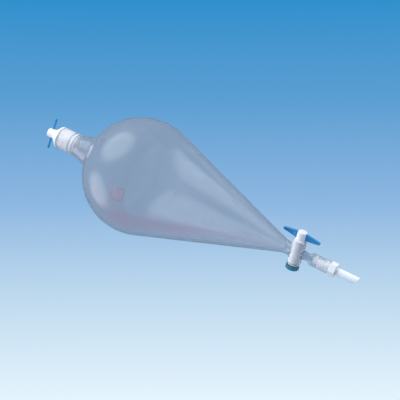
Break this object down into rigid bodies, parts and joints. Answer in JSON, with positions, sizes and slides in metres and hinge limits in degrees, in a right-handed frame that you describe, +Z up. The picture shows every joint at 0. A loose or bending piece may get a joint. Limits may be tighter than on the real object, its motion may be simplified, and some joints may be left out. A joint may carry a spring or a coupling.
{
  "type": "separatory funnel",
  "caption": "Pear-shaped glass separatory funnel with a screw-in stopper, a taper-plug stopcock with a blade handle, and a slant-cut stem held in a threaded socket.",
  "frame": {"origin": "on the funnel's axis, at the height where a 100 mm support ring meets the outside of the cone", "axes": "+Z up the funnel's axis to the stopper, X along the stopcock's axis with the handle at +X, -Y the face with the marking patch"},
  "size_m": [0.16, 0.16, 0.4852],
  "materials": {
    "borosilicate_glass": "clear, polished",
    "white_ptfe": "satin, slightly waxy white",
    "blue_plastic": "moulded, satin gloss",
    "teal_plastic": "moulded, satin gloss",
    "natural_nylon": "translucent off-white",
    "clear_seal": "translucent white",
    "black_seal": "matt black"
  },
  "bodies": {
    "root": {"glass_body": "borosilicate_glass"},
    "stopper_lift": {"stopper_o_ring": "clear_seal"},
    "stopper": {"stopper_plug": "white_ptfe", "stopper_rod": "blue_plastic"},
    "stopcock": {"stopcock_plug": "white_ptfe", "stopcock_handle": "blue_plastic"},
    "nut_stack": {"stopcock_washer": "white_ptfe", "stopcock_o_ring": "black_seal"},
    "nut": {"stopcock_nut": "teal_plastic"},
    "ferrule_stack": {"stem_ferrule": "white_ptfe", "stem_o_ring": "clear_seal"},
    "bushing": {"stem_bushing": "natural_nylon"},
    "stem": {"stem_tube": "white_ptfe"}
  },
  "joints": [
    {"name": "stopper_rise", "type": "slide", "parent": "root", "child": "stopper_lift", "axis": [0, 0, 1], "range_m": [0, 0.028]},
    {"name": "stopper_unscrew", "type": "hinge", "parent": "stopper_lift", "child": "stopper", "pos_m": [0, 0, 0.2351], "axis": [0, 0, 1], "range_deg": [0, 2520]},
    {"name": "stopcock_turn", "type": "hinge", "parent": "root", "child": "stopcock", "pos_m": [0, 0, -0.1393], "axis": [1, 0, 0], "continuous": true},
    {"name": "nut_travel", "type": "slide", "parent": "stopcock", "child": "nut_stack", "axis": [-1, 0, 0], "range_m": [0, 0.008]},
    {"name": "nut_unscrew", "type": "hinge", "parent": "nut_stack", "child": "nut", "pos_m": [-0.02, 0, -0.1393], "axis": [-1, 0, 0], "range_deg": [0, 1440]},
    {"name": "ferrule_drop", "type": "slide", "parent": "root", "child": "ferrule_stack", "axis": [0, 0, -1], "range_m": [0, 0.018]},
    {"name": "bushing_unscrew", "type": "hinge", "parent": "ferrule_stack", "child": "bushing", "pos_m": [0, 0, -0.1871], "axis": [0, 0, -1], "range_deg": [0, 2160]},
    {"name": "stem_pull", "type": "slide", "parent": "root", "child": "stem", "axis": [0, 0, -1], "range_m": [0, 0.036]}
  ],
  "couplings": [
    {"joint": "stopper_rise", "follows": "stopper_unscrew", "m_per_rad": 0.00063662},
    {"joint": "nut_travel", "follows": "nut_unscrew", "m_per_rad": 0.00031831},
    {"joint": "ferrule_drop", "follows": "bushing_unscrew", "m_per_rad": 0.00047746}
  ]
}
